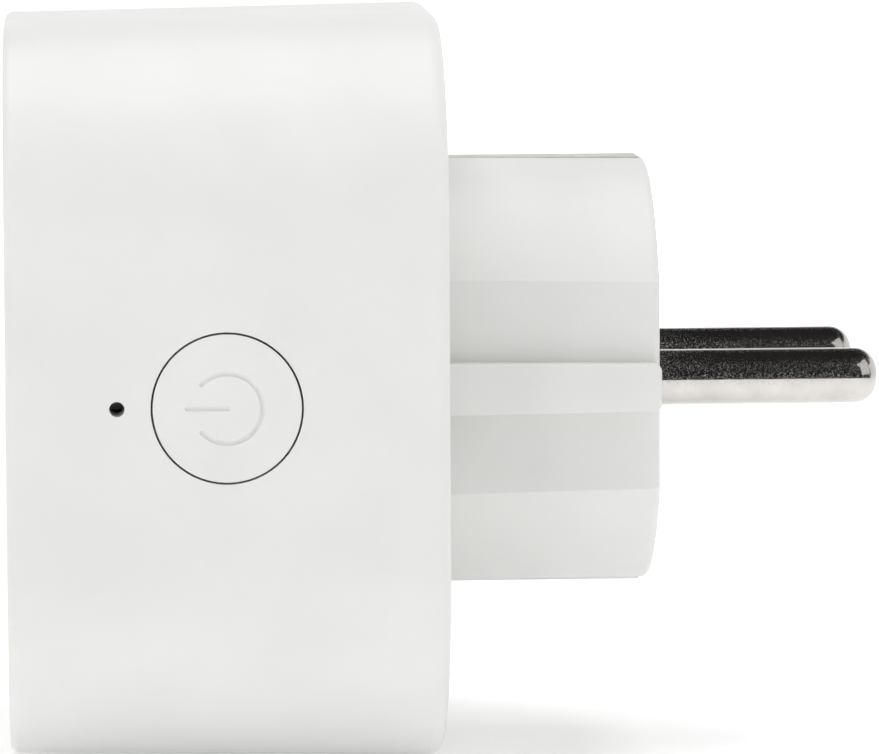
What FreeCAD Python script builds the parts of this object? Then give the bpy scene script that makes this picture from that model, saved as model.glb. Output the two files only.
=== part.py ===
"""Plug-in power meter: a plug and a socket on one axis, with the meter and its switch between them.

Frame: +X along the pins, out of the wall side; +Z up; the button side faces -Y. The origin is on the
plug's axis, in the plane of the body's back face, which meets the wall plate. Sizes are millimetres
and degrees.
"""

import FreeCAD, Part
import math
import os
import re
import Sketcher

from FreeCAD import Placement, Rotation, Vector

doc = FreeCAD.newDocument("plug_power_meter")
sheet = doc.addObject("Spreadsheet::Sheet", "Sizes")

SIZES = {
    # Body
    "body_depth": 37.2,
    "body_width": 54.6,
    "body_height": 64.2,
    "body_corner": 18.2,
    "body_z": -0.4,
    "draft": 1.03,
    "wall": 2.2,
    "front_round": 0.7,
    "back_round": 1.3,
    "gap": 0.1,
    # Plug boss
    "boss_radius": 18.55,
    "boss_length": 18.5,
    "boss_wall": 2.2,
    "boss_face": 3.0,
    "boss_taper": 0.09,
    "boss_round": 0.6,
    "flat_at": 16.2,
    "boss_flange_radius": 20.2,
    "boss_flange": 1.1,
    "rib_width": 4.35,
    "rib_draft": 0.6,
    # Pins
    "pin_radius": 2.4,
    "pin_length": 19.3,
    "pin_pitch": 19.0,
    "pin_dome": 1.9,
    "root_radius": 2.2,
    "root_groove": 0.1,
    "tail_radius": 2.0,
    "tail_at": 9.0,
    "collar_radius": 3.3,
    "collar_thick": 1.5,
    # Earth parts
    "earth_half_width": 2.75,
    "clip_half_width": 1.5,
    "earth_sheet": 0.8,
    "earth_proud": 0.1,
    "earth_hole_radius": 2.75,
    "earth_hole_z": 10.0,
    "strap_at": -7.6,
    "spring_sheet": 0.5,
    # Socket well
    "well_radius": 19.6,
    "well_depth": 17.5,
    "well_wall": 1.6,
    "well_floor": 2.2,
    "flange_radius": 22.8,
    "flange_thick": 1.0,
    "pad_at": 17.0,
    "pad_half_height": 7.7,
    "pad_groove": 5.4,
    "pin_hole_radius": 2.75,
    "channel_half_width": 3.4,
    "channel_top": 22.3,
    "channel_wall": 1.2,
    # Screws
    "post_radius": 3.3,
    "post_y": 18.3,
    "post_z": 23.1,
    "screw_radius": 1.15,
    "screw_head_radius": 2.2,
    "screw_head": 1.2,
    "screw_length": 8.0,
    "small_screw_radius": 0.9,
    "small_head_radius": 1.7,
    "small_head": 0.9,
    "small_screw_length": 5.0,
    # Shutter
    "wedge_half": 3.2,
    "wedge_front": -17.4,
    "wedge_back": -10.5,
    "wedge_lip": 0.8,
    "wedge_width": 6.2,
    "bar_thick": 2.0,
    "box_half_width": 14.0,
    "box_top": 14.0,
    "box_bottom": -4.6,
    "box_wall": 1.2,
    "box_back": -10.3,
    "spring_radius": 1.7,
    "spring_wire": 0.13,
    "spring_turns": 5.5,
    "ear_z": -7.2,
    "ear_radius": 2.5,
    "ear_at": -13.5,
    "ear_thick": 1.5,
    # Button and status light
    "button_x": -18.7,
    "button_radius": 6.22,
    "button_gap": 0.18,
    "button_flange": 7.1,
    "button_inside": -24.5,
    "button_flange_thick": 0.6,
    "symbol_radius": 2.93,
    "symbol_groove": 0.21,
    "symbol_arc": 272.0,
    "symbol_bar": 3.35,
    "led_x": -27.9,
    "led_hole_radius": 0.64,
    # Circuit boards
    "board_back": -3.0,
    "board_thick": 1.6,
    "board_width": 49.4,
    "board_height": 57.4,
    "board_corner": 15.4,
    "board_open_y": 15.5,
    "board_open_z": 9.5,
    "side_board_y": -21.4,
    "side_board_thick": 0.8,
    "side_board_end": -31.4,
    "side_board_half": 6.5,
    "radio_board_z": 24.9,
    "lead_radius": 0.3,
}
for row, (alias, value) in enumerate(SIZES.items(), start=1):
    sheet.set(f"A{row}", alias)
    sheet.set(f"B{row}", str(value))
    sheet.setAlias(f"B{row}", alias)
doc.recompute()

nodes = {}
AXES = {
    "X": Rotation(Vector(0, 1, 0), 90),
    "Y": Rotation(Vector(1, 0, 0), -90),
    "Z": Rotation(),
}


# Tools for building


def size(alias):
    """A driving dimension's value."""
    return float(sheet.get(alias))


def bound(formula):
    """A formula in which each driving dimension, given by its plain name, is read from the sheet."""
    return re.sub(r"[a-z]\w*", lambda m: "Sizes." + m[0] if m[0] in SIZES else m[0], str(formula))


def bind(obj, **formulas):
    for prop, formula in formulas.items():
        obj.setExpression(prop.replace("__", "."), bound(formula))
    return obj


def put(obj, x, y, z, turn=None):
    obj.Placement = Placement(Vector(), turn or Rotation())
    return bind(obj, Placement__Base__x=x, Placement__Base__y=y, Placement__Base__z=z)


def block(x0, x1, y0, y1, z0, z1):
    """A box between two corners, each given as formulas."""
    box = doc.addObject("Part::Box", "block")
    bind(box, Length=f"({x1})-({x0})", Width=f"({y1})-({y0})", Height=f"({z1})-({z0})")
    return put(box, x0, y0, z0)


def rod(axis, radius, length, x, y, z):
    """A cylinder that starts at a point and runs along +X, +Y or +Z."""
    cylinder = doc.addObject("Part::Cylinder", "rod")
    bind(cylinder, Radius=radius, Height=length)
    return put(cylinder, x, y, z, AXES[axis])


def cone(axis, radius_from, radius_to, length, x, y, z):
    tapered = doc.addObject("Part::Cone", "cone")
    bind(tapered, Radius1=radius_from, Radius2=radius_to, Height=length)
    return put(tapered, x, y, z, AXES[axis])


def fuse(*parts):
    joined = doc.addObject("Part::MultiFuse", "joined")
    joined.Shapes = list(parts)
    joined.Refine = True
    return joined


def cut(base, *tools):
    made = doc.addObject("Part::Cut", "cut")
    made.Base = base
    made.Tool = fuse(*tools) if len(tools) > 1 else tools[0]
    made.Refine = True
    return made


def common(*parts):
    shared = doc.addObject("Part::MultiCommon", "shared")
    shared.Shapes = list(parts)
    return shared


def group(*parts):
    """Several separate solids in one sub-part."""
    together = doc.addObject("Part::Compound", "group")
    together.Links = list(parts)
    return together


def round_edges(base, radius, wanted):
    """Rounds the edges that the test picks, all at one radius."""
    doc.recompute()
    made = doc.addObject("Part::Fillet", "rounded")
    made.Base = base
    r = size(radius) if isinstance(radius, str) else radius
    made.Edges = [(i, r, r) for i, edge in enumerate(base.Shape.Edges, start=1) if wanted(edge)]
    return made


def edges_in_plane(axis, at):
    """A test for the edges that lie in one plane across an axis."""
    low, high = axis + "Min", axis + "Max"

    def wanted(edge):
        box = edge.BoundBox
        return abs(getattr(box, low) - at) < 1e-3 and abs(getattr(box, high) - at) < 1e-3

    return wanted


def straight_edges(axis):
    """A test for the straight edges that run along an axis."""
    others = [name for name in "XYZ" if name != axis]

    def wanted(edge):
        across = [getattr(edge.BoundBox, name + "Length") for name in others]
        return edge.Curve.TypeId == "Part::GeomLine" and max(across) < 1e-3

    return wanted


def rounded_sketch(body, name, width, height, corner):
    """A rounded rectangle in the body's own YZ plane, centred: four sides, then four corner arcs."""
    sketch = body.newObject("Sketcher::SketchObject", name)
    sketch.AttachmentSupport = (next(f for f in body.Origin.OriginFeatures if f.Role == "YZ_Plane"), [""])
    sketch.MapMode = "FlatFace"
    y, z, r = 20.0, 25.0, 5.0
    sides = [
        ((y - r, z), (r - y, z)),
        ((-y, z - r), (-y, r - z)),
        ((r - y, -z), (y - r, -z)),
        ((y, r - z), (y, z - r)),
    ]
    centres = [(y - r, z - r), (r - y, z - r), (r - y, r - z), (y - r, r - z)]
    for start, end in sides:
        sketch.addGeometry(Part.LineSegment(Vector(*start, 0), Vector(*end, 0)), False)
    for quarter, centre in enumerate(centres):
        circle = Part.Circle(Vector(*centre, 0), Vector(0, 0, 1), r)
        arc = Part.ArcOfCircle(circle, quarter * math.pi / 2, (quarter + 1) * math.pi / 2)
        sketch.addGeometry(arc, False)
    for side in range(4):
        sketch.addConstraint(Sketcher.Constraint("Tangent", 4 + side, 2, side, 1))
        sketch.addConstraint(Sketcher.Constraint("Tangent", side, 2, 4 + (side + 1) % 4, 1))
    sketch.addConstraint(Sketcher.Constraint("Vertical", 1))
    sketch.addConstraint(Sketcher.Constraint("Horizontal", 2))
    sketch.addConstraint(Sketcher.Constraint("Symmetric", 0, 1, 0, 2, -2))
    sketch.addConstraint(Sketcher.Constraint("Symmetric", 3, 1, 3, 2, -1))
    for arc in (5, 6, 7):
        sketch.addConstraint(Sketcher.Constraint("Equal", 4, arc))
    dimensions = {
        "corner": (Sketcher.Constraint("Radius", 4, r), corner),
        "width": (Sketcher.Constraint("DistanceX", 1, 1, 3, 1, 2 * y), width),
        "height": (Sketcher.Constraint("DistanceY", 2, 1, 0, 1, 2 * z), height),
    }
    for label, (constraint, formula) in dimensions.items():
        index = sketch.addConstraint(constraint)
        sketch.renameConstraint(index, label)
        sketch.setExpression("Constraints." + label, bound(formula))
    return sketch


def slab(name, width, height, corner, x0, length, taper="0", z="body_z"):
    """A rounded slab that starts at one X and runs towards -X, narrowing by the taper on every side."""
    body = doc.addObject("PartDesign::Body", name)
    sketch = rounded_sketch(body, name + "_outline", width, height, corner)
    pad = body.newObject("PartDesign::Pad", name + "_pad")
    pad.Profile = sketch
    pad.Reversed = True
    bind(pad, Length=length, TaperAngle=f"-({taper})")
    body.Tip = pad
    return put(body, x0, "0", z)


def bent_strip(points, bend, thickness, half_width):
    """A strip of sheet centred on Y = 0, along points in X and Z, with a round bend at each of them."""
    route = [Vector(x, 0, z) for x, z in points]
    run_start = route[0]
    pieces = []
    for before, corner, after in zip(route, route[1:], route[2:]):
        inward = (before - corner).normalize()
        outward = (after - corner).normalize()
        half_angle = inward.getAngle(outward) / 2
        setback = bend / math.tan(half_angle)
        middle = (inward + outward).normalize()
        apex = corner + middle * (bend / math.sin(half_angle) - bend)
        arc_start = corner + inward * setback
        arc_end = corner + outward * setback
        pieces.append(Part.LineSegment(run_start, arc_start).toShape())
        pieces.append(Part.Arc(arc_start, apex, arc_end).toShape())
        run_start = arc_end
    pieces.append(Part.LineSegment(run_start, route[-1]).toShape())
    path = Part.Wire(pieces)
    first = (route[1] - route[0]).normalize()
    across = first.cross(Vector(0, 1, 0)) * (thickness / 2)
    side = Vector(0, half_width, 0)
    corners = [
        route[0] + across + side,
        route[0] - across + side,
        route[0] - across - side,
        route[0] + across - side,
    ]
    profile = Part.makePolygon(corners + corners[:1])
    swept = path.makePipeShell([profile], True, True)
    strip = doc.addObject("Part::Feature", "strip")
    strip.Shape = swept
    return strip


def mirrored(source, x=1, y=1, z=1):
    """A copy reflected in the plane across the axis whose factor is -1."""
    copy = doc.addObject("Part::Mirroring", "mirrored")
    copy.Source = source
    copy.Normal = Vector(int(x < 0), int(y < 0), int(z < 0))
    return copy


def node(name, obj):
    obj.Label = name
    nodes[name] = obj
    return obj


SIDES = {"line": 1, "neutral": -1}
ENDS = {"upper": 1, "lower": -1}
POSTS = [(y, z) for y in (-1, 1) for z in (-1, 1)]
WELL_BACK = "(well_depth + well_floor - body_depth)"
WELL_FLOOR = "(well_depth - body_depth)"
BOARD_FRONT = "(board_back - board_thick)"
PIN_Y = {s: f"{s} * pin_pitch / 2" for s in (1, -1)}
POST_PLACES = [(f"{y} * post_y", f"body_z + {z} * post_z") for y, z in POSTS]
WALL_FACE = "(body_width / 2 + button_x * tan(draft))"
SIDE_LEADS = [("side_board_y + lead_radius", f"{row} * 2.54") for row in (-1.5, -0.5, 0.5, 1.5)]
RADIO_LEADS = [(f"{column} * 2", "radio_board_z - lead_radius") for column in range(-3, 4)]
CAN_TOP = size("board_back") - size("board_thick") - 10.7


# Casing


def make_shell():
    """The outer shell: side walls and front, four screw posts, and holes for the button and the light."""
    body = slab("shell_solid", "body_width", "body_height", "body_corner", "0", "body_depth", "draft")
    outside = round_edges(body, "front_round", edges_in_plane("X", -size("body_depth")))
    outside = round_edges(outside, "back_round", edges_in_plane("X", 0.0))
    inner = ("body_width - 2 * wall", "body_height - 2 * wall", "body_corner - wall")
    hollow = slab("shell_hollow", *inner, "0", "body_depth - wall", "draft")
    column = ("post_radius", "body_depth - 2 * wall", "wall - body_depth")
    posts = [rod("X", *column, *at) for at in POST_PLACES]
    light_tube = rod("Y", "2.5 * led_hole_radius", "2.2", "led_x", "-body_width / 2 + 1.7", "body_z")
    inside = common(fuse(*posts, light_tube), body)
    openings = [
        rod("X", "well_radius + well_wall + gap", "wall + 2", "-body_depth - 1", "0", "0"),
        rod("Y", "button_radius + button_gap", "5", "button_x", "-body_width / 2 - 2", "body_z"),
        rod("Y", "led_hole_radius", "8", "led_x", "-body_width / 2 - 2", "body_z"),
    ]
    pilot = ("screw_radius", "screw_length", "-screw_head - gap - screw_length")
    pilots = [rod("X", *pilot, *at) for at in POST_PLACES]
    return cut(fuse(cut(outside, hollow), inside), *openings, *pilots)


def clip_slots():
    """The slots for the plug's earth clips: along the boss, in behind its end, and through the plate."""
    wide = ("-clip_half_width - gap / 2", "clip_half_width + gap / 2")
    inside = "boss_radius + earth_proud - earth_sheet - gap / 2"
    end = "boss_length - boss_round + gap / 2"
    slots = fuse(
        block("-wall - 1", "1", *wide, inside, "boss_radius + earth_proud + gap / 2"),
        block("0", end, *wide, inside, "25"),
        block(f"{end} - earth_sheet", end, *wide, "boss_radius - boss_wall - 1", "boss_radius"),
    )
    return [slots, mirrored(slots, z=-1)]


def make_cover():
    """The back cover: a plate that drops into the shell, with a stepped hole for the boss."""
    width, height = (f"{whole} - 2 * wall - 2 * gap" for whole in ("body_width", "body_height"))
    plate = slab("cover_plate", width, height, "body_corner - wall - gap", "0", "wall", "draft")
    hole = rod("X", "boss_radius + boss_taper + gap", "wall + 2", "-wall - 1", "0", "0")
    step = rod("X", "boss_flange_radius + gap", "boss_flange + 1", "-wall - 1", "0", "0")
    screws = []
    for at in POST_PLACES:
        screws.append(rod("X", "screw_radius + gap", "wall + 2", "-wall - 1", *at))
        screws.append(rod("X", "screw_head_radius + gap", "screw_head + 2", "-screw_head - gap", *at))
    return cut(plate, hole, step, *screws, *clip_slots())


def make_boss():
    """The hollow plug boss: a rib and two flats on each side, and a flange that the cover holds."""
    radii = ("boss_radius + boss_taper", "boss_radius - boss_taper")
    boss = cone("X", *radii, "boss_length + wall", "-wall", "0", "0")
    above = [
        block("0", "boss_length + 1", y0, y1, "rib_width / 2", "25")
        for y0, y1 in (("flat_at", "25"), ("-25", "-flat_at"))
    ]
    for corner in above:
        corner.Placement.Rotation = Rotation(Vector(0, 1, 0), size("rib_draft"))
    corners = above + [mirrored(corner, z=-1) for corner in above]
    boss = round_edges(cut(boss, *corners), "boss_round", edges_in_plane("X", size("boss_length")))
    flange = rod("X", "boss_flange_radius", "boss_flange", "-wall", "0", "0")
    depth = "boss_length - boss_face + wall + 1"
    room = rod("X", "boss_radius - boss_wall", depth, "-wall - 1", "0", "0")
    side = "flat_at - boss_wall + gap"
    between = block("-wall - 2", "boss_length", f"-({side})", side, "-25", "25")
    through = ("2 * boss_face", "boss_length - boss_face - 1")
    pins = [rod("X", "root_radius + gap / 4", *through, y, "0") for y in PIN_Y.values()]
    earth_hole = rod("X", "earth_hole_radius", *through, "0", "earth_hole_z")
    return cut(fuse(boss, flange), common(room, between), *pins, earth_hole, *clip_slots())


def make_well():
    """The socket's well: a cup with guide pads, channels for the earth clips, and two pin holes."""
    outer = "well_radius + well_wall"
    cup = rod("X", outer, "well_depth + well_floor", "-body_depth", "0", "0")
    flange = rod("X", "flange_radius", "flange_thick", "wall + gap - body_depth", "0", "0")
    inside = rod("X", "well_radius", "well_depth + 1", "-body_depth - 1", "0", "0")
    mouth = cone("X", "well_radius + 0.5", "well_radius", "0.5", "-body_depth", "0", "0")
    pads = cut(
        common(rod("X", "well_radius + 0.2", "well_depth - 1.2", "1.2 - body_depth", "0", "0"),
               block("-body_depth", WELL_FLOOR, "-25", "25", "-pad_half_height", "pad_half_height")),
        block("-body_depth - 1", f"{WELL_FLOOR} + 1", "-pad_at", "pad_at", "-25", "25"),
        block("-body_depth - 1", WELL_FLOOR, "-25", "25", "-pad_groove / 2", "pad_groove / 2"),
    )
    channel_out = [
        block("wall + gap - body_depth", WELL_BACK, "-channel_half_width - channel_wall",
              "channel_half_width + channel_wall", low, high)
        for low, high in (("17", "channel_top + channel_wall"), ("-channel_top - channel_wall", "-17"))
    ]
    channel_in = [
        block("wall + flange_thick - body_depth", f"{WELL_BACK} + 1",
              "-channel_half_width", "channel_half_width", low, high)
        for low, high in (("18.6", "channel_top"), ("-channel_top", "-18.6"))
    ]
    holes, ear_posts, pilots = [], [], []
    pilot = ("small_screw_radius", "small_screw_length", "ear_at - small_screw_length")
    for y in PIN_Y.values():
        holes.append(rod("X", "pin_hole_radius", "well_floor + 2", f"{WELL_FLOOR} - 1", y, "0"))
        holes.append(cone("X", "pin_hole_radius + 0.6", "pin_hole_radius", "0.6", WELL_FLOOR, y, "0"))
        ear_posts.append(rod("X", "ear_radius", f"ear_at - ear_thick - {WELL_BACK}", WELL_BACK, y, "ear_z"))
        pilots.append(rod("X", *pilot, y, "ear_z"))
    walls = cut(fuse(cup, flange, *channel_out), inside, mouth)
    return cut(fuse(walls, pads, *ear_posts), *channel_in, *holes, *pilots)


node("outer_shell", make_shell())
node("back_cover", make_cover())
node("plug_boss", make_boss())
node("socket_well", make_well())


# Screws


def make_screw(radius, length, head_radius, head, x, y, z):
    """A pan-head screw along X with its head towards +X and a cross recess in it."""
    seat = rod("X", head_radius, f"{head} / 2", x, y, z)
    crown = cone("X", head_radius, f"0.75 * {head_radius}", f"{head} / 2", f"({x}) + {head} / 2", y, z)
    shank = rod("X", radius, length, f"({x}) - {length}", y, z)
    narrow = "0.22"
    wide = f"0.6 * {head_radius}"
    top = f"({x}) + {head}"
    cross = [
        block(f"{top} - 0.6", f"{top} + 1", f"({y}) - {a}", f"({y}) + {a}",
              f"({z}) - {b}", f"({z}) + {b}")
        for a, b in ((narrow, wide), (wide, narrow))
    ]
    return cut(fuse(shank, seat, crown), *cross)


def make_case_screws():
    driven = ("screw_radius", "screw_length", "screw_head_radius", "screw_head", "-screw_head - gap")
    return group(*[make_screw(*driven, *at) for at in POST_PLACES])


def make_shutter_screws():
    driven = ("small_screw_radius", "small_screw_length", "small_head_radius", "small_head", "ear_at")
    return group(*[make_screw(*driven, y, "ear_z") for y in PIN_Y.values()])


node("case_screws", make_case_screws())
node("shutter_screws", make_shutter_screws())


# Shutter


def prism(points, y0, y1):
    """A solid with a straight-sided outline in X and Z, between two places along Y."""
    outline = [Vector(x, y0, z) for x, z in points]
    face = Part.Face(Part.makePolygon(outline + outline[:1]))
    piece = doc.addObject("Part::Feature", "prism")
    piece.Shape = face.extrude(Vector(0, y1 - y0, 0))
    return piece


def make_shutter():
    """Two wedges on one bar: pins that come in together push both slopes and slide the bar up."""
    front, back, half = size("wedge_front"), size("wedge_back"), size("wedge_half")
    slope = [(front, half), (back, half), (back, -half), (back - size("wedge_lip"), -half)]
    wedges = []
    for s in (1, -1):
        middle = s * size("pin_pitch") / 2
        wedges.append(prism(slope, middle - size("wedge_width") / 2, middle + size("wedge_width") / 2))
    end = "pin_pitch / 2 + wedge_width / 2"
    bar = block("wedge_front", "wedge_back", f"-({end})", end, "wedge_half", "wedge_half + bar_thick")
    seat = rod("Z", "spring_radius - spring_wire - gap", "1", "(wedge_front + wedge_back) / 2", "0",
               "wedge_half + bar_thick")
    return cut(fuse(bar, *wedges, seat), block("wedge_front + 2", "wedge_back - 2", "3", "6", "0", "20"))


def make_shutter_cover():
    """The box over the shutter: closed behind and all round, with pin holes and two ears for its screws."""
    outer = block(WELL_BACK, "box_back + box_wall", "-box_half_width", "box_half_width",
                  "box_bottom", "box_top")
    inner = block(f"{WELL_BACK} - 1", "box_back", "box_wall - box_half_width", "box_half_width - box_wall",
                  "box_bottom + box_wall", "box_top - box_wall")
    holes = [rod("X", "pin_hole_radius", "5", "box_back - 1", y, "0") for y in PIN_Y.values()]
    ears, bores = [], []
    for y in PIN_Y.values():
        ears.append(rod("X", "ear_radius", "ear_thick", "ear_at - ear_thick", y, "ear_z"))
        ears.append(block("ear_at - ear_thick", "ear_at", f"{y} - ear_radius", f"{y} + ear_radius",
                          "ear_z", "box_bottom + gap"))
        bores.append(rod("X", "small_screw_radius + gap", "4", "ear_at - 3", y, "ear_z"))
    return cut(fuse(cut(outer, inner), *ears), *holes, *bores)


def make_spring():
    """The shutter's spring: a coil between the bar and the box's top, standing round a peg on the bar."""
    low = size("wedge_half") + size("bar_thick") + size("spring_wire") + 0.02
    high = size("box_top") - size("box_wall") - size("spring_wire") - 0.02
    turns = size("spring_turns")
    radius = size("spring_radius")
    helix = Part.makeHelix((high - low) / turns, high - low, radius)
    ring = Part.Wire(Part.Circle(Vector(radius, 0, 0), Vector(0, 1, 0), size("spring_wire")).toShape())
    coil = helix.makePipeShell([ring], True, True)
    spring = doc.addObject("Part::Feature", "coil")
    spring.Shape = coil
    spring.Placement.Base = Vector((size("wedge_front") + size("wedge_back")) / 2, 0, low)
    return spring


node("shutter", make_shutter())
node("shutter_cover", make_shutter_cover())
node("shutter_spring", make_spring())


# Contacts and earth


def make_pin(s):
    """A plug pin with a domed tip, and inside the boss its collar and the tail for the busbar."""
    y = PIN_Y[s]
    face = "boss_length - boss_face"
    tip = edges_in_plane("X", size("boss_length") + size("pin_length"))
    shaft = rod("X", "pin_radius", "pin_length - root_groove", "boss_length + root_groove", y, "0")
    root = rod("X", "root_radius", "boss_face + root_groove", face, y, "0")
    collar = rod("X", "collar_radius", "collar_thick", f"{face} - collar_thick", y, "0")
    tail = rod("X", "tail_radius", f"{face} - collar_thick - tail_at", "tail_at", y, "0")
    return fuse(round_edges(shaft, "pin_dome", tip), root, collar, tail)


def make_busbar(s):
    """From a pin's tail out to the boss's side, back along it, and out again to its pad on the board."""
    plate = block("tail_at + 0.6", "tail_at + 1.4", "7", "14", "-2.5", "6")
    leg = block("board_back", "tail_at + 1.4", "13.2", "14", "3", "6")
    foot = block("board_back", "board_back + 0.6", "13.2", "18", "3", "6")
    hole = rod("X", "tail_radius", "4", "tail_at - 1", "pin_pitch / 2", "0")
    bar = cut(fuse(plate, leg, foot), hole)
    return bar if s > 0 else mirrored(bar, y=-1)


def make_contact(s):
    """A slotted sleeve that grips a pin, with a tab to the board."""
    middle = ("pin_pitch / 2", "0")
    start = "box_back + box_wall + gap"
    sleeve = rod("X", "3", "9", start, *middle)
    mouth = cone("X", "2.9", "2.35", "1.2", start, *middle)
    bore = rod("X", "2.35", "12", f"{start} - 1", *middle)
    slit = block(f"{start} - 1", f"{start} + 5.5", "0", "20", "-0.4", "0.4")
    tab = block("board_back", "board_back + 0.6", "pin_pitch / 2 + 2.6", "17.5", "-2", "2")
    contact = cut(fuse(sleeve, tab), mouth, bore, slit)
    return contact if s > 0 else mirrored(contact, y=-1)


def make_plug_clip(s):
    """The plug's own earth clip: a strip in its slot along the boss, hooked in at the front."""
    top = "boss_radius + earth_proud"
    wide = ("-clip_half_width", "clip_half_width")
    strip = block("strap_at + earth_sheet", "boss_length - boss_round", *wide, f"{top} - earth_sheet", top)
    hook = block("boss_length - boss_round - earth_sheet + gap", "boss_length - boss_round", *wide,
                 "boss_radius - boss_wall", top)
    outside = edges_in_plane("Z", size("boss_radius") + size("earth_proud"))
    clip = round_edges(fuse(strip, hook), 0.25, outside)
    return clip if s > 0 else mirrored(clip, z=-1)


def make_socket_clip(s):
    """A sprung earth contact in the well's channel, humped in towards the axis."""
    line = size("channel_top") - 0.8
    route = [
        (size("strap_at"), line),
        (-20.0, line),
        (-26.0, 17.6),
        (-29.0, 17.6),
        (-33.5, line),
    ]
    half_width = size("earth_half_width") - 0.25
    return bent_strip([(x, s * z) for x, z in route], 1.0, size("spring_sheet"), half_width)


def make_strap():
    """The strap that joins all four earth clips, between the two sockets."""
    return block("strap_at", "strap_at + earth_sheet", "-earth_half_width", "earth_half_width",
                 "-channel_top", "channel_top")


def make_earth_sleeve():
    """The contact for a wall socket's own earth pin, with a leg back to the strap."""
    sleeve = rod("X", "earth_hole_radius + 0.25", "10", "boss_length - boss_face - 10", "0", "earth_hole_z")
    leg = block("strap_at + earth_sheet", "boss_length - boss_face - 9", "-1.5", "1.5",
                "earth_hole_z - earth_hole_radius - 0.25", "earth_hole_z - earth_hole_radius + 0.35")
    bore = rod("X", "earth_hole_radius - 0.35", "12", "boss_length - boss_face - 11", "0", "earth_hole_z")
    slit = block("boss_length - boss_face - 7", "20", "-0.3", "0.3", "earth_hole_z", "20")
    return cut(fuse(sleeve, leg), bore, slit)


for side, s in SIDES.items():
    node(side + "_pin", make_pin(s))
    node(side + "_busbar", make_busbar(s))
    node(side + "_contact", make_contact(s))
for end, s in ENDS.items():
    node(end + "_plug_earth_clip", make_plug_clip(s))
    node(end + "_socket_earth_clip", make_socket_clip(s))
node("earth_strap", make_strap())
node("earth_sleeve", make_earth_sleeve())


# Button and status light


def tilted(turn):
    """A turn that first lays local +Z along -Y, then leans with the casing's draft."""
    return Rotation(Vector(0, 0, 1), -size("draft")) * Rotation(Vector(1, 0, 0), 90) * turn


def groove_end(along, up):
    """The round end of a groove in the button's face, at a distance from the button's middle."""
    ball = doc.addObject("Part::Sphere", "groove_end")
    bind(ball, Radius="symbol_groove + 0.01")
    return put(ball, f"button_x + {along}", f"-{WALL_FACE} - ({along}) * tan(draft)", f"body_z + {up}")


def make_button():
    """The button's cap: flush with the shell, a flange inside it, and a power symbol cut in its face."""
    stem = rod("Y", "button_radius", "5", "button_x", "button_inside - 5", "body_z")
    outline = ("body_width", "body_height", "body_corner")
    flush = common(stem, slab("button_face", *outline, "0", "body_depth", "draft"))
    flange = rod("Y", "button_flange", "button_flange_thick", "button_x", "button_inside", "body_z")
    nub = rod("Y", "1.5", "0.17", "button_x", "button_inside + button_flange_thick - 0.05", "body_z")
    arc = doc.addObject("Part::Torus", "symbol_ring")
    bind(arc, Radius1="symbol_radius", Radius2="symbol_groove", Angle3="symbol_arc")
    start = Rotation(Vector(0, 0, 1), -size("symbol_arc") / 2)
    put(arc, "button_x", f"-{WALL_FACE}", "body_z", tilted(start))
    bar = doc.addObject("Part::Cylinder", "symbol_bar")
    bind(bar, Radius="symbol_groove", Height="symbol_bar")
    put(bar, "button_x", f"-{WALL_FACE}", "body_z", tilted(Rotation(Vector(0, 1, 0), -90)))
    reach = ("symbol_radius * cos(symbol_arc / 2)", "symbol_radius * sin(symbol_arc / 2)")
    ends = [("0", "0"), ("-symbol_bar", "0"), reach, (reach[0], f"-{reach[1]}")]
    return cut(fuse(flush, flange, nub), arc, bar, *[groove_end(x, z) for x, z in ends])


def make_switch():
    """A low tact switch: a square body with a round opening for its plunger."""
    base = "side_board_y - side_board_thick"
    body = block("button_x - 2.6", "button_x + 2.6", f"{base} - 1.1", base, "body_z - 2.6", "body_z + 2.6")
    opening = rod("Y", "1.28", "1", "button_x", f"{base} - 1.2", "body_z")
    legs = [
        block(f"button_x + {a} - 0.4", f"button_x + {a} + 0.4", f"{base} - 0.2", base,
              "body_z - 3.3", "body_z + 3.3")
        for a in (-1.7, 1.7)
    ]
    return cut(fuse(body, *legs), opening)


def make_plunger():
    base = "side_board_y - side_board_thick"
    return rod("Y", "1.2", "0.9", "button_x", f"{base} - 1.55", "body_z")


node("button", make_button())
node("switch_body", make_switch())
node("switch_plunger", make_plunger())
node("status_light", block("led_x - 0.8", "led_x + 0.8", "side_board_y - side_board_thick - 0.6",
                           "side_board_y - side_board_thick", "body_z - 0.4", "body_z + 0.4"))


# Circuit boards


def make_main_board():
    """The power board: open in the middle, notched for the posts and slotted for the clips."""
    board = slab("board", "board_width", "board_height", "board_corner", "board_back", "board_thick", z="0")
    depth = (f"{BOARD_FRONT} - 1", "board_back + 1")
    opening = block(*depth, "-board_open_y", "board_open_y", "-board_open_z", "board_open_z")
    past = "board_thick + 2"
    notches = [rod("X", "post_radius + 0.2", past, depth[0], *at) for at in POST_PLACES]
    slot = block(*depth, "-clip_half_width - 0.2", "clip_half_width + 0.2",
                 "boss_radius + earth_proud - earth_sheet - 0.3", "boss_radius + earth_proud + 0.3")
    drills = [rod("X", "lead_radius + 0.05", past, depth[0], *at) for at in SIDE_LEADS + RADIO_LEADS]
    return cut(board, opening, *notches, slot, mirrored(slot, z=-1), *drills)


def make_leads(places, length):
    return group(*[rod("X", "lead_radius", length, "board_back + 0.4 - " + length, *at) for at in places])


def make_shield():
    """The pressed can over the radio's chips."""
    can = block("-18.6", "-6.6", "-6", "6", "radio_board_z + 0.8", "radio_board_z + 2.8")
    return round_edges(can, 0.4, edges_in_plane("Z", size("radio_board_z") + 2.8))


def make_side_board():
    return block("side_board_end", BOARD_FRONT, "side_board_y - side_board_thick", "side_board_y",
                 "-side_board_half", "side_board_half")


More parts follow.
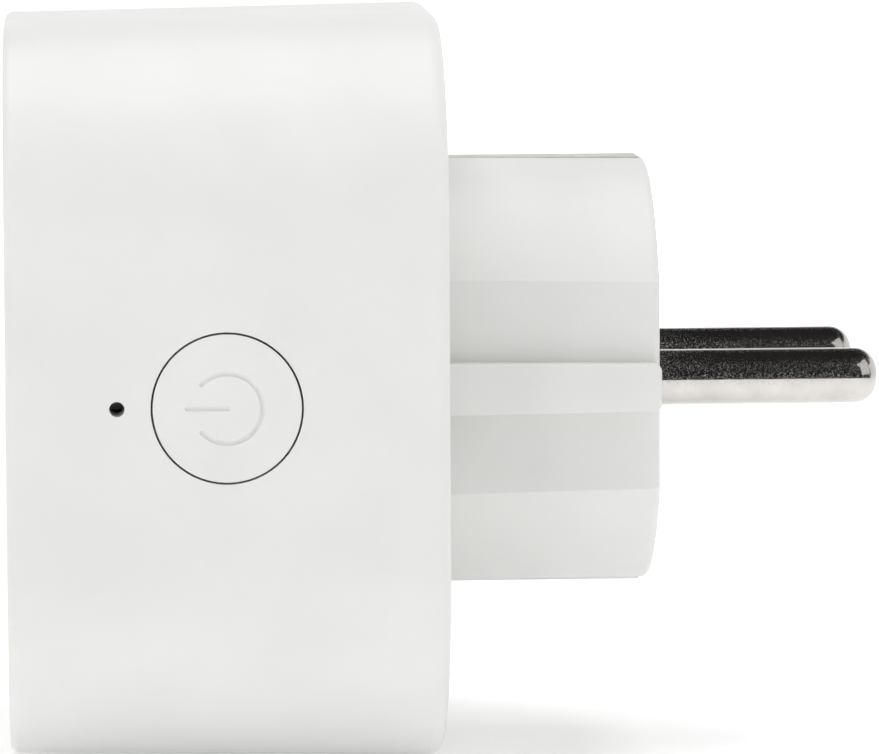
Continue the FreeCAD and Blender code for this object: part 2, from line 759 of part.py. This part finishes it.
node("main_board", make_main_board())
node("side_board", make_side_board())
node("side_board_header", make_leads(SIDE_LEADS, "5"))
node("radio_board", block("-26.6", BOARD_FRONT, "-8", "8", "radio_board_z", "radio_board_z + 0.8"))
node("radio_header", make_leads(RADIO_LEADS, "5"))
node("radio_shield", make_shield())


# Parts on the power board, which stand on its front face


def standing(height, y0, y1, z0, z1, clear="0"):
    """A boxed component on the power board."""
    foot = f"{BOARD_FRONT} - {clear}"
    return block(f"{foot} - {height}", foot, y0, y1, z0, z1)


def make_relay():
    """A sealed mini power relay."""
    case = standing("10", "14.4", "24.2", "-10", "10")
    return round_edges(case, 0.5, straight_edges("X"))


def make_transformer_core():
    """Two E halves: a ring round the winding, open on two sides, with the middle leg through it."""
    whole = standing("9.6", "3.5", "14.5", "17", "21.8", "0.4")
    windows = [
        block(f"{BOARD_FRONT} - 8.2", f"{BOARD_FRONT} - 2.2", low, high, "10", "30")
        for low, high in (("4.6", "7.4"), ("10.6", "13.4"))
    ]
    return cut(whole, *windows)


def make_transformer_winding():
    coil = standing("5.4", "4.7", "13.3", "14.5", "24.3", "2.5")
    leg = standing("9.6", "7.4", "10.6", "17", "21.8", "0.4")
    return cut(round_edges(coil, 1.6, straight_edges("X")), leg)


def make_capacitors():
    """Two electrolytic capacitors, each a can with a rolled groove near its board end."""
    cans = []
    for y, z in ((-7.2, 18.0), (-13.8, 17.2)):
        can = rod("X", "3.15", "10.6", f"{BOARD_FRONT} - 10.7", str(y), str(z))
        rounded = round_edges(can, 0.4, edges_in_plane("X", CAN_TOP))
        groove = doc.addObject("Part::Torus", "groove")
        bind(groove, Radius1="3.3", Radius2="0.35")
        cans.append(cut(rounded, put(groove, f"{BOARD_FRONT} - 1.6", str(y), str(z), AXES["X"])))
    return group(*cans)


def make_box_capacitor():
    box = standing("10", "3.6", "11.2", "-27.2", "-22.4")
    return round_edges(box, 0.4, straight_edges("X"))


def make_varistor():
    """A coated disc standing on edge on two leads."""
    disc = rod("Y", "4.4", "3.4", f"{BOARD_FRONT} - 5.8", "-16.6", "-16.2")
    return round_edges(disc, 1.2, lambda edge: edge.Curve.TypeId == "Part::GeomCircle")


def make_fuse_resistor():
    """An axial fusible resistor, its leads bent down to the board."""
    x = f"{BOARD_FRONT} - 2.6"
    barrel = rod("Z", "1.7", "8", x, "-9.5", "-22")
    band = cut(rod("Z", "2.5", "5.6", x, "-9.5", "-20.8"), rod("Z", "1.5", "6", x, "-9.5", "-21"))
    waist = cut(barrel, band)
    leads = [
        rod("Z", "lead_radius", "1.2", x, "-9.5", "-23"),
        rod("Z", "lead_radius", "1.2", x, "-9.5", "-14.2"),
        rod("X", "lead_radius", "2.6", x, "-9.5", "-22.9"),
        rod("X", "lead_radius", "2.6", x, "-9.5", "-13.1"),
    ]
    return fuse(waist, *leads)


def make_shunt():
    """A bent metal strip of known resistance that carries the load's current."""
    foot_a = standing("0.5", "11.4", "14.6", "-14.6", "-13")
    foot_b = standing("0.5", "11.4", "14.6", "-22", "-20.4")
    arch = standing("3.4", "11.4", "14.6", "-20.9", "-14.1")
    under = standing("2.9", "11", "15", "-20.4", "-14.6")
    return fuse(foot_a, foot_b, cut(arch, under))


def make_chip(height, y0, y1, z0, z1, pins_along_z):
    """A surface-mounted chip with four leads on each of two sides."""
    body = standing(height, y0, y1, z0, z1, "0.1")
    leads = []
    for k in range(4):
        if pins_along_z:
            at = f"({z0}) + 0.55 + {k} * 1.27"
            leads.append(standing("0.3", f"({y0}) - 0.9", f"({y1}) + 0.9", f"{at} - 0.2", f"{at} + 0.2"))
        else:
            at = f"({y0}) + 0.55 + {k} * 1.27"
            leads.append(standing("0.3", f"{at} - 0.2", f"{at} + 0.2", f"({z0}) - 0.9", f"({z1}) + 0.9"))
    return fuse(body, *leads)


node("relay", make_relay())
node("transformer_core", make_transformer_core())
node("transformer_winding", make_transformer_winding())
node("electrolytic_capacitors", make_capacitors())
node("interference_capacitor", make_box_capacitor())
node("varistor", make_varistor())
node("fuse_resistor", make_fuse_resistor())
node("current_shunt", make_shunt())
node("metering_chip", make_chip("1.5", "-20.6", "-16.7", "-14", "-9.1", True))
node("supply_chip", make_chip("1.5", "-20.4", "-16.5", "9.4", "14.3", True))
node("rectifier", make_chip("2.3", "17.2", "21.2", "11.4", "16.3", True))


def write_parts():
    """Checks every object and every sub-part, and then writes each sub-part's file."""
    doc.recompute()
    failed = [obj.Label for obj in doc.Objects if {"Invalid", "Error"} & set(obj.State)]
    if failed:
        raise RuntimeError(f"failed objects: {failed}")
    for name, obj in nodes.items():
        if obj.Shape.isNull() or not obj.Shape.isValid() or not obj.Shape.Solids:
            raise RuntimeError(f"{name} has no valid shape")
    os.makedirs("parts", exist_ok=True)
    for name, obj in nodes.items():
        obj.Shape.exportStep(f"parts/{name}.step")
        print(f"{name}: {len(obj.Shape.Solids)} solid(s), {obj.Shape.Volume:.1f} mm3")


write_parts()
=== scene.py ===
"""Looks of the plug-in power meter: materials, fine detail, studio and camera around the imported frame."""

import math

import bpy
from mathutils import Matrix, Vector


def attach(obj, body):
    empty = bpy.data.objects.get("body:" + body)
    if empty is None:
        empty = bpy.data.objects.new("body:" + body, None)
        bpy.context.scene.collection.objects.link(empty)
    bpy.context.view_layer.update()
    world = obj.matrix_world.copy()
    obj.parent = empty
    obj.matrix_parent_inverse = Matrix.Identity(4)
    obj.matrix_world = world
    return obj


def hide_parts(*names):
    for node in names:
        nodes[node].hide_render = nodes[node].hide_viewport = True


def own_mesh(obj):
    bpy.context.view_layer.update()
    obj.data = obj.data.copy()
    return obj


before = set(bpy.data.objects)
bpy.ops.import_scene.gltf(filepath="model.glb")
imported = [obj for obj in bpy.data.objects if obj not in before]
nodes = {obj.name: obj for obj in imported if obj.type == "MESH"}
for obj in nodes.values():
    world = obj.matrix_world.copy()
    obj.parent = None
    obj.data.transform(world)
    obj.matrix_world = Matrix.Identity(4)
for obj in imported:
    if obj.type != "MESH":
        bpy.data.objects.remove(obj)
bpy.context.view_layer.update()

MM = 0.001

# The shutter's spring
SPRING_WIRE, SPRING_TURNS = 0.13 * MM, 5.5  # the wire's radius, and the coil's turns
COIL_STEPS, COIL_SIDES = 264, 12

# The studio
FLOOR = -32.9 * MM
NEAR_PAPER, FAR_PAPER = 0.27, 6.0  # radii
NEAR_GLOW, FAR_GLOW = 0.25, 0.75
AMBIENT, DARK_ROOM, BACKDROP = 0.40, 0.022, 0.95

# The camera, from a fit of the body, the boss and the pins to the view
LENS = 267.27
EYE = Vector((-30.55, -568.08, 59.72)) * MM
PITCH, YAW, ROLL = (math.radians(angle) for angle in (6.072, 3.130, -0.280))


# Building materials out of nodes

# Sockets of the Mix node, which has one set for each type of value
NUMBER_INPUTS, NUMBER_RESULT = (2, 3), 0
COLOUR_INPUTS, COLOUR_RESULT = (6, 7), 2


def dimmed(colour, share):
    return tuple(share * c for c in colour)


class Recipe:
    """One procedural material: a Principled shader and the textures that feed it."""

    def __init__(self, name, colour, roughness, metallic=0.0):
        self.material = bpy.data.materials.new(name)
        self.material.use_nodes = True
        self.tree = self.material.node_tree
        self.shader = self.tree.nodes["Principled BSDF"]
        self.set("Base Color", (*colour, 1.0))
        self.set("Roughness", roughness)
        self.set("Metallic", metallic)
        self.place = self.tree.nodes.new("ShaderNodeTexCoord").outputs["Object"]
        self.last_normal = None

    def set(self, socket, value):
        self.shader.inputs[socket].default_value = value
        return self

    def node(self, kind, **settings):
        made = self.tree.nodes.new("ShaderNode" + kind)
        for key, value in settings.items():
            setattr(made, key, value)
        return made

    def link(self, source, target):
        self.tree.links.new(source, target)

    def feed(self, source, socket):
        self.link(source, self.shader.inputs[socket])
        return self

    def stretched(self, x, y, z):
        """The object's coordinates, multiplied axis by axis."""
        mapping = self.node("Mapping")
        mapping.inputs["Scale"].default_value = (x, y, z)
        self.link(self.place, mapping.inputs["Vector"])
        return mapping.outputs["Vector"]

    def turned(self, angle):
        """The object's coordinates, turned about Y so that X and Z change places."""
        mapping = self.node("Mapping")
        mapping.inputs["Rotation"].default_value = (0.0, angle, 0.0)
        self.link(self.place, mapping.inputs["Vector"])
        return mapping.outputs["Vector"]

    def noise(self, size, detail=3.0, rough=0.5, place=None):
        """Noise whose features are about size metres across, from 0 to 1."""
        made = self.node("TexNoise")
        made.inputs["Scale"].default_value = 1.0 / size
        made.inputs["Detail"].default_value = detail
        made.inputs["Roughness"].default_value = rough
        self.link(place or self.place, made.inputs["Vector"])
        return made.outputs["Fac"]

    def cells(self, size):
        """Distance from the middle of the nearest of some scattered cells, as a share of their size."""
        made = self.node("TexVoronoi")
        made.inputs["Scale"].default_value = 1.0 / size
        self.link(self.place, made.inputs["Vector"])
        return made.outputs["Distance"]

    def spread(self, source, low, high, start=0.3, end=0.7):
        """A texture's value remapped so that start gives low and end gives high."""
        made = self.node("MapRange")
        made.inputs["From Min"].default_value = start
        made.inputs["From Max"].default_value = end
        made.inputs["To Min"].default_value = low
        made.inputs["To Max"].default_value = high
        self.link(source, made.inputs["Value"])
        return made.outputs["Result"]

    def maths(self, operation, a, b=0.0):
        """The result of an operation on sockets or plain numbers."""
        made = self.node("Math", operation=operation)
        for socket, value in zip(made.inputs, (a, b)):
            if isinstance(value, (int, float)):
                socket.default_value = value
            else:
                self.link(value, socket)
        return made.outputs[0]

    def blend(self, factor, a, b):
        """Colour a where the factor is 0 and b where it is 1."""
        made = self.node("Mix", data_type="RGBA")
        self.link(factor, made.inputs["Factor"])
        for number, value in zip(COLOUR_INPUTS, (a, b)):
            if isinstance(value, tuple):
                made.inputs[number].default_value = (*value, 1.0)
            else:
                self.link(value, made.inputs[number])
        return made.outputs[COLOUR_RESULT]

    def axis(self, letter):
        """One coordinate of the surface's place."""
        parts = self.node("SeparateXYZ")
        self.link(self.place, parts.inputs[0])
        return parts.outputs[letter]

    def bump(self, height, depth, strength=1.0):
        """Adds relief that is depth metres deep."""
        made = self.node("Bump")
        made.inputs["Strength"].default_value = strength
        made.inputs["Distance"].default_value = depth
        self.link(height, made.inputs["Height"])
        if self.last_normal:
            self.link(self.last_normal, made.inputs["Normal"])
        self.last_normal = made.outputs["Normal"]
        return self.feed(self.last_normal, "Normal")


def moulded(name, colour, roughness, grain=0.12 * MM, depth=0.004 * MM):
    """Moulded plastic, a little translucent: fine grain, faint clouds in the colour and patchy sheen."""
    made = Recipe(name, colour, roughness)
    clouds = made.spread(made.noise(9 * MM, 4.0), 0.0, 1.0)
    made.feed(made.blend(clouds, dimmed(colour, 0.965), colour), "Base Color")
    made.feed(made.spread(made.noise(1.6 * MM, 5.0), roughness - 0.05, roughness + 0.06), "Roughness")
    made.bump(made.noise(6 * MM, 2.0), 0.012 * MM, 0.5)
    made.bump(made.noise(grain, 2.0), depth)
    made.set("Subsurface Weight", 0.08)
    made.set("Subsurface Radius", (1.0, 0.9, 0.8))
    made.set("Subsurface Scale", 0.6 * MM)
    return made


def metal(name, colour, roughness, along, scratch=0.05 * MM, depth=0.0015 * MM, pits=0.0):
    """Metal with drawn or rolled lines along one axis, faint stains, and pits where their depth isn't 0."""
    made = Recipe(name, colour, roughness, 1.0)
    stains = made.spread(made.noise(2.2 * MM, 5.0), 0.0, 1.0)
    made.feed(made.blend(stains, dimmed(colour, 0.86), colour), "Base Color")
    factors = [0.06 if axis == along else 1.0 for axis in "XYZ"]
    lines = made.noise(scratch, 3.0, 0.6, made.stretched(*factors))
    made.feed(made.spread(lines, roughness * 0.75, roughness * 1.35), "Roughness")
    made.bump(lines, depth)
    if pits:
        made.bump(made.spread(made.noise(0.10 * MM, 4.0, 0.7), 0.0, 1.0, 0.56, 0.72), pits)
    return made


def assign(made, *names):
    """Gives every material slot of the named nodes this material."""
    for name in names:
        for slot in nodes[name].material_slots:
            slot.material = made.material


WHITE = (0.80, 0.80, 0.785)


def outside_materials():
    assign(moulded("casing_white", WHITE, 0.42), "outer_shell")
    assign(moulded("button_white", WHITE, 0.40), "button")
    assign(moulded("cover_white", WHITE, 0.50, 0.2 * MM, 0.008 * MM), "back_cover")
    assign(moulded("boss_white", (0.765, 0.765, 0.75), 0.46), "plug_boss")
    assign(moulded("socket_white", (0.78, 0.78, 0.765), 0.46), "socket_well")
    assign(moulded("shutter_white", (0.74, 0.74, 0.72), 0.38), "shutter")
    assign(moulded("shutter_cover_white", (0.66, 0.66, 0.64), 0.55), "shutter_cover")
    assign(metal("pin_nickel", (0.69, 0.665, 0.635), 0.06, "X", 0.07 * MM, 0.0006 * MM, 0.008 * MM),
           "line_pin", "neutral_pin")
    earth = metal("earth_nickel", (0.80, 0.79, 0.77), 0.52, "X", 0.06 * MM, 0.006 * MM)
    earth.set("Metallic", 0.35)  # matt plating, which scatters more than it mirrors
    assign(earth, "upper_plug_earth_clip", "lower_plug_earth_clip", "upper_socket_earth_clip",
           "lower_socket_earth_clip")
    assign(metal("screw_zinc", (0.66, 0.67, 0.68), 0.3, "Y"), "case_screws", "shutter_screws")


def printed_board(name, mask, copper):
    """Solder mask over traces and pads, with the glass weave showing through."""
    made = Recipe(name, mask, 0.35)
    tracks = made.node("TexBrick", offset=0.37, squash=0.8)
    tracks.inputs["Scale"].default_value = 1.0 / (5.5 * MM)
    tracks.inputs["Mortar Size"].default_value = 0.035
    tracks.inputs["Mortar Smooth"].default_value = 0.1
    made.link(made.turned(math.pi / 2), tracks.inputs["Vector"])
    over_copper = made.blend(tracks.outputs["Fac"], mask, copper)
    pads = made.maths("LESS_THAN", made.cells(3.1 * MM), 0.13)
    made.feed(made.blend(pads, over_copper, (0.62, 0.60, 0.55)), "Base Color")
    made.feed(pads, "Metallic")
    made.bump(tracks.outputs["Fac"], 0.03 * MM)
    made.bump(made.noise(0.35 * MM, 1.0, 0.5, made.stretched(1.0, 0.3, 1.0)), 0.006 * MM)
    return made


def coated(name, colour, roughness, lumps=1.1 * MM, depth=0.02 * MM):
    """A dipped or moulded component: uneven coat, slight mottling and a worn sheen."""
    made = Recipe(name, colour, roughness)
    mottling = made.spread(made.noise(1.3 * MM, 5.0), 0.0, 1.0)
    made.feed(made.blend(mottling, dimmed(colour, 0.86), colour), "Base Color")
    made.feed(made.spread(made.noise(0.7 * MM, 4.0), roughness - 0.06, roughness + 0.1), "Roughness")
    made.bump(made.noise(lumps, 2.0), depth)
    made.bump(made.noise(0.11 * MM, 2.0), 0.004 * MM)
    return made


TIN, TIN_ROUGHNESS = (0.70, 0.70, 0.68), 0.35


def tinned(made, where):
    """Turns one region of a component into tinned metal: where is 1 there and 0 elsewhere."""
    coat = made.shader.inputs["Base Color"].links[0].from_socket
    sheen = made.shader.inputs["Roughness"].links[0].from_socket
    elsewhere = made.maths("SUBTRACT", 1.0, where)
    made.feed(made.blend(where, coat, TIN), "Base Color")
    made.feed(where, "Metallic")
    made.feed(made.maths("ADD", made.maths("MULTIPLY", sheen, elsewhere),
                         made.maths("MULTIPLY", where, TIN_ROUGHNESS)), "Roughness")
    return made


def tinned_beyond(made, letter, middle, reach):
    """Tins a component's leads: whatever is further than reach from its middle, along one axis."""
    away = made.maths("ABSOLUTE", made.maths("SUBTRACT", made.axis(letter), middle))
    return tinned(made, made.maths("GREATER_THAN", away, reach))


CHIP_REACH = 2.01 * MM
RESISTOR_MIDDLE, RESISTOR_REACH = -18.0 * MM, 4.02 * MM
CAPACITOR_SLEEVE_END = -14.95 * MM


def chip(name, middle):
    """Moulded black epoxy, with leads that stand out in Y from both sides of its middle."""
    return tinned_beyond(coated(name, (0.028, 0.028, 0.03), 0.5), "Y", middle, CHIP_REACH)


def inside_materials():
    assign(metal("copper", (0.78, 0.42, 0.27), 0.3, "X"), "line_busbar", "neutral_busbar")
    assign(metal("bronze", (0.72, 0.50, 0.28), 0.28, "X"), "line_contact", "neutral_contact")
    assign(metal("brass", (0.76, 0.60, 0.30), 0.26, "Z"), "earth_strap", "earth_sleeve")
    assign(metal("tin", (0.72, 0.72, 0.70), 0.35, "X"),
           "side_board_header", "radio_header", "radio_shield")
    assign(metal("shunt_alloy", (0.60, 0.47, 0.36), 0.4, "Z"), "current_shunt")
    assign(metal("switch_plate", (0.68, 0.68, 0.66), 0.32, "Z"), "switch_body")
    assign(coated("switch_black", (0.035, 0.035, 0.035), 0.45), "switch_plunger")
    assign(printed_board("board_green", (0.010, 0.105, 0.035), (0.020, 0.20, 0.06)),
           "main_board", "side_board")
    assign(printed_board("board_blue", (0.010, 0.035, 0.13), (0.02, 0.07, 0.22)), "radio_board")
    assign(coated("relay_case", (0.025, 0.025, 0.028), 0.32, 4 * MM), "relay")
    assign(coated("ferrite", (0.055, 0.055, 0.058), 0.7, 0.3 * MM, 0.03 * MM), "transformer_core")
    tape = coated("winding_tape", (0.72, 0.50, 0.05), 0.3)
    turns = tape.node("TexWave", bands_direction="X")
    turns.inputs["Scale"].default_value = 1.0 / (3.0 * MM)
    turns.inputs["Distortion"].default_value = 0.6
    tape.link(tape.place, turns.inputs["Vector"])
    tape.bump(turns.outputs["Fac"], 0.05 * MM)
    assign(tape, "transformer_winding")
    sleeve = coated("capacitor_sleeve", (0.02, 0.035, 0.12), 0.28)
    can_end = sleeve.maths("LESS_THAN", sleeve.axis("X"), CAPACITOR_SLEEVE_END)
    assign(tinned(sleeve, can_end), "electrolytic_capacitors")
    assign(coated("capacitor_box", (0.70, 0.46, 0.05), 0.4, 3 * MM), "interference_capacitor")
    assign(coated("varistor_coat", (0.03, 0.10, 0.42), 0.3, 1.6 * MM, 0.08 * MM), "varistor")
    barrel = coated("resistor_lacquer", (0.10, 0.33, 0.24), 0.35)
    assign(tinned_beyond(barrel, "Z", RESISTOR_MIDDLE, RESISTOR_REACH), "fuse_resistor")
    assign(chip("meter_chip", -18.65 * MM), "metering_chip")
    assign(chip("power_chip", -18.45 * MM), "supply_chip")
    assign(chip("bridge_chip", 19.2 * MM), "rectifier")
    light = coated("light_resin", (0.80, 0.82, 0.70), 0.12)
    light.set("Transmission Weight", 0.6)
    assign(light, "status_light")


outside_materials()
inside_materials()


# The shutter's spring, as a coil


def make_coil():
    """A wire wound up from the shutter's bar to its box's top, which stays where it is as the bar rises."""
    spring = nodes["shutter_spring"]
    corners = [spring.matrix_world @ Vector(corner) for corner in spring.bound_box]
    low, high = (Vector(pick(corner[k] for corner in corners) for k in range(3)) for pick in (min, max))
    radius = (high.x - low.x) / 2 - SPRING_WIRE
    rise = high.z - low.z - 2 * SPRING_WIRE
    winding = 2 * math.pi * SPRING_TURNS
    slope = rise / (winding * radius)
    points = []
    for k in range(COIL_STEPS + 1):
        turn = winding * k / COIL_STEPS
        outward = Vector((math.cos(turn), math.sin(turn), 0.0))
        along = Vector((-math.sin(turn), math.cos(turn), slope)).normalized()
        height = low.z + SPRING_WIRE + rise * k / COIL_STEPS
        middle = Vector(((low.x + high.x) / 2, 0.0, height)) + radius * outward
        for j in range(COIL_SIDES):
            around = 2 * math.pi * j / COIL_SIDES
            away = math.cos(around) * outward + math.sin(around) * outward.cross(along)
            points.append(middle + SPRING_WIRE * away)
    last_ring = COIL_STEPS * COIL_SIDES
    faces = [tuple(range(COIL_SIDES)), tuple(reversed(range(last_ring, last_ring + COIL_SIDES)))]
    for k in range(COIL_STEPS):
        for j in range(COIL_SIDES):
            here, beside = k * COIL_SIDES + j, k * COIL_SIDES + (j + 1) % COIL_SIDES
            faces.append((here, here + COIL_SIDES, beside + COIL_SIDES, beside))
    mesh = bpy.data.meshes.new("spring_coil")
    mesh.from_pydata(points, [], faces)
    mesh.shade_smooth()
    mesh.materials.append(metal("spring_wire", (0.55, 0.55, 0.55), 0.25, "Z").material)
    coil = bpy.data.objects.new("spring_coil", mesh)
    bpy.context.scene.collection.objects.link(coil)
    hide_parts("shutter_spring")
    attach(coil, "housing")
    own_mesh(coil)


make_coil()


# Studio


def sheet_of_floor(name, inner, outer, made):
    """A flat ring, or a disc where the inner radius is 0."""
    steps = 96
    points = []
    for radius in (inner, outer):
        for k in range(steps):
            turn = 2 * math.pi * k / steps
            points.append((radius * math.cos(turn), radius * math.sin(turn), FLOOR))
    if inner:
        faces = [(k, (k + 1) % steps, steps + (k + 1) % steps, steps + k) for k in range(steps)]
    else:
        faces = [tuple(range(steps, 2 * steps))]
    mesh = bpy.data.meshes.new(name)
    mesh.from_pydata(points, [], faces)
    floor = bpy.data.objects.new(name, mesh)
    bpy.context.scene.collection.objects.link(floor)
    mesh.materials.append(made.material)
    return floor


def softbox(name, place, width, height, power, in_reflections=True):
    """A rectangular lamp, turned towards the origin."""
    light = bpy.data.lights.new(name, "AREA")
    light.shape = "RECTANGLE"
    light.size = width
    light.size_y = height
    light.energy = power
    lamp = bpy.data.objects.new(name, light)
    lamp.location = place
    lamp.rotation_mode = "QUATERNION"
    lamp.rotation_quaternion = (-Vector(place)).to_track_quat("-Z", "Y")
    lamp.visible_glossy = in_reflections
    bpy.context.scene.collection.objects.link(lamp)


def pale_paper(name, glow):
    """White paper for the floor, lit from behind by a set amount."""
    paper = Recipe(name, (0.90, 0.90, 0.90), 0.9)
    paper.feed(paper.blend(paper.noise(20 * MM), (0.89, 0.89, 0.89), (0.91, 0.91, 0.91)), "Base Color")
    paper.set("Emission Color", (1.0, 1.0, 1.0, 1.0))
    paper.set("Emission Strength", glow)
    return paper


def ramp(tree, source, start, end):
    """A value that climbs from 0 to 1 as its source goes from start to end."""
    made = tree.nodes.new("ShaderNodeMapRange")
    made.inputs["From Min"].default_value = start
    made.inputs["From Max"].default_value = end
    tree.links.new(source, made.inputs["Value"])
    return made.outputs["Result"]


def between(tree, factor, low, high):
    """A value that is low where the factor is 0 and high where it is 1."""
    mix = tree.nodes.new("ShaderNodeMix")
    tree.links.new(factor, mix.inputs["Factor"])
    for number, value in zip(NUMBER_INPUTS, (low, high)):
        if isinstance(value, float):
            mix.inputs[number].default_value = value
        else:
            tree.links.new(value, mix.inputs[number])
    return mix.outputs[NUMBER_RESULT]


def sky(tree):
    """The room by direction: white as a backdrop, pale as ambient light, and for reflections dark all round
    except for a low white backdrop behind."""
    rays = tree.nodes.new("ShaderNodeLightPath")
    place = tree.nodes.new("ShaderNodeTexCoord")
    direction = tree.nodes.new("ShaderNodeSeparateXYZ")
    tree.links.new(place.outputs["Generated"], direction.inputs[0])
    behind = ramp(tree, direction.outputs["Y"], -0.10, 0.0)
    low = ramp(tree, direction.outputs["Z"], 0.50, 0.42)
    backdrop = tree.nodes.new("ShaderNodeMath")
    backdrop.operation = "MULTIPLY"
    tree.links.new(behind, backdrop.inputs[0])
    tree.links.new(low, backdrop.inputs[1])
    reflected = between(tree, backdrop.outputs[0], DARK_ROOM, BACKDROP)
    unseen = between(tree, rays.outputs["Is Glossy Ray"], AMBIENT, reflected)
    return between(tree, rays.outputs["Is Camera Ray"], unseen, 1.0)


def make_studio():
    sheet_of_floor("floor", 0.0, NEAR_PAPER, pale_paper("floor_paper", NEAR_GLOW))
    far = sheet_of_floor("far_floor", NEAR_PAPER, FAR_PAPER, pale_paper("far_paper", FAR_GLOW))
    far.visible_glossy = False
    softbox("right_softbox", (0.80, -0.51, 0.55), width=1.0, height=1.0, power=2.5)
    softbox("left_softbox", (-0.75, -0.55, 0.35), width=0.5, height=0.7, power=1.8)
    softbox("top_softbox", (0.0, 0.05, 0.9), width=0.8, height=0.8, power=5.9, in_reflections=False)
    world = bpy.data.worlds.new("studio_air")
    bpy.context.scene.world = world
    world.use_nodes = True
    tree = world.node_tree
    tree.links.new(sky(tree), tree.nodes["Background"].inputs["Color"])
    bpy.context.scene.view_settings.view_transform = "Standard"


def make_camera():
    """The camera, whose pitch is downwards and whose yaw is from +Y towards +X."""
    camera = bpy.data.cameras.new("camera")
    camera.sensor_width = 36.0
    camera.lens = LENS
    camera.clip_start = 0.01
    eye = bpy.data.objects.new("camera", camera)
    forward = Vector((math.sin(YAW) * math.cos(PITCH), math.cos(YAW) * math.cos(PITCH), -math.sin(PITCH)))
    tilt = Matrix.Rotation(-ROLL, 4, forward).to_quaternion()
    eye.location = EYE
    eye.rotation_mode = "QUATERNION"
    eye.rotation_quaternion = tilt @ forward.to_track_quat("-Z", "Y")
    bpy.context.scene.collection.objects.link(eye)
    bpy.context.scene.camera = eye


make_studio()
make_camera()
